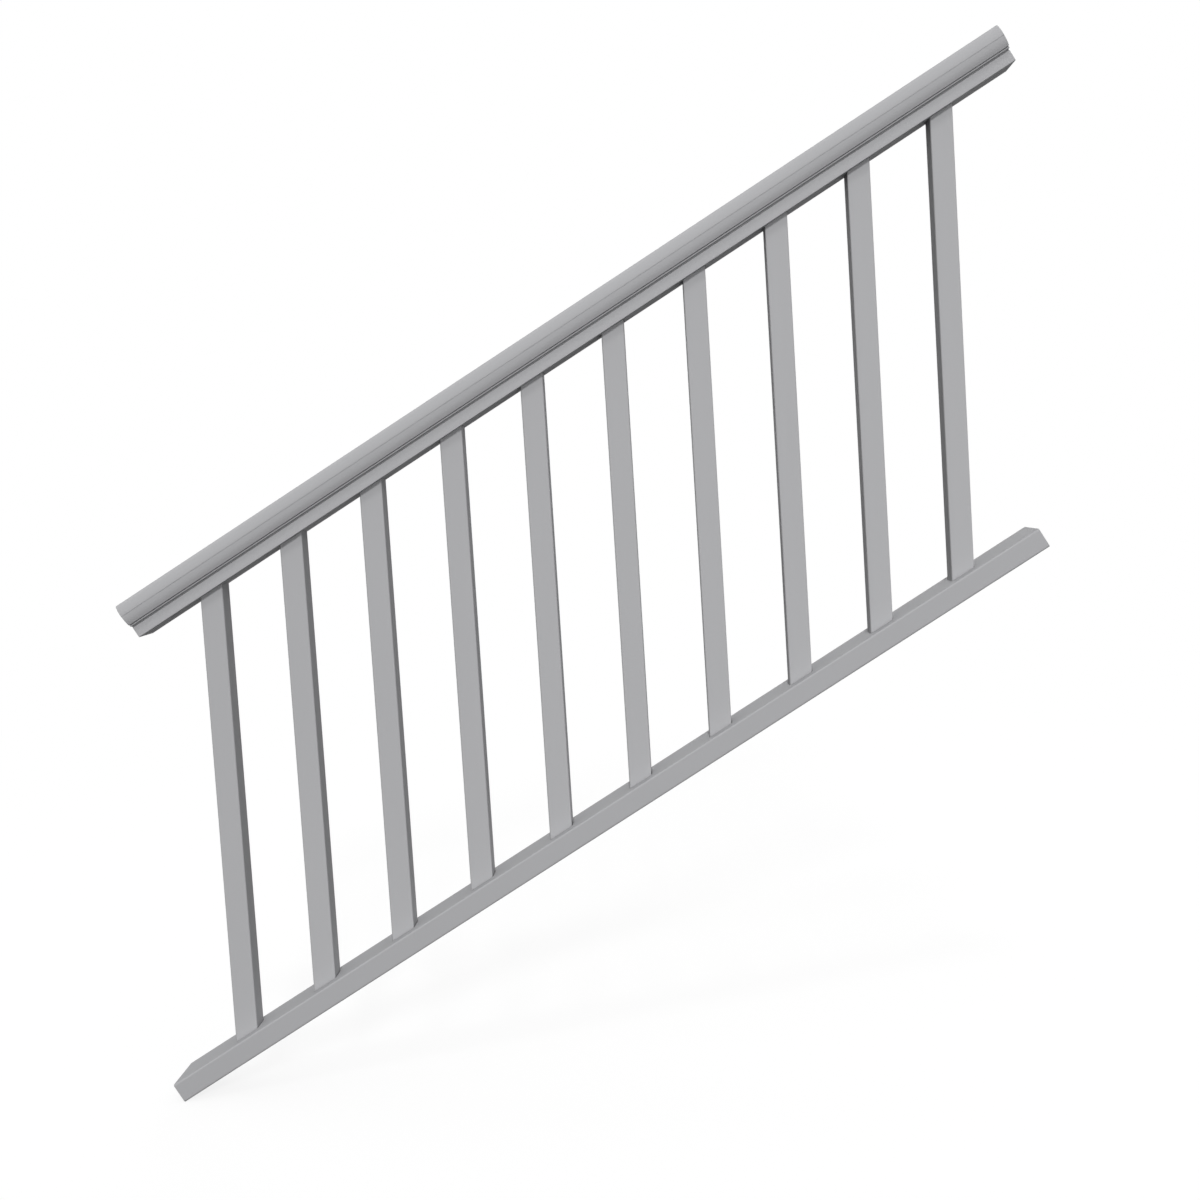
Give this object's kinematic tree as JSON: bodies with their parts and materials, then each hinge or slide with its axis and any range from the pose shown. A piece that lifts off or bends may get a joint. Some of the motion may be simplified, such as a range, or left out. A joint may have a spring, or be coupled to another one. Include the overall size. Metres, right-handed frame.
{
  "type": "stair railing panel",
  "caption": "Raked railing panel for a stair: a moulded handrail and a flat bottom rail, hollow, with plumb square balusters in routed sockets between them.",
  "frame": {"origin": "on the lower end face of the bottom rail, in the middle of the width and of the thickness of its floor wall", "axes": "+X runs uphill in plan, +Y across the rails away from the side that the picture shows, +Z is plumb up; the rails rise towards +X at 29.6 degrees"},
  "size_m": [1.5511, 0.0926, 1.7021],
  "materials": {
    "handrail_vinyl": "smooth extruded vinyl, satin",
    "bottom_rail_vinyl": "smooth extruded vinyl, satin",
    "baluster_vinyl": "smooth extruded vinyl, satin"
  },
  "bodies": {
    "root": {"handrail": "handrail_vinyl", "bottom_rail": "bottom_rail_vinyl", "baluster_01": "baluster_vinyl", "baluster_02": "baluster_vinyl", "baluster_03": "baluster_vinyl", "baluster_04": "baluster_vinyl", "baluster_05": "baluster_vinyl", "baluster_06": "baluster_vinyl", "baluster_07": "baluster_vinyl", "baluster_08": "baluster_vinyl", "baluster_09": "baluster_vinyl", "baluster_10": "baluster_vinyl"}
  },
  "joints": []
}
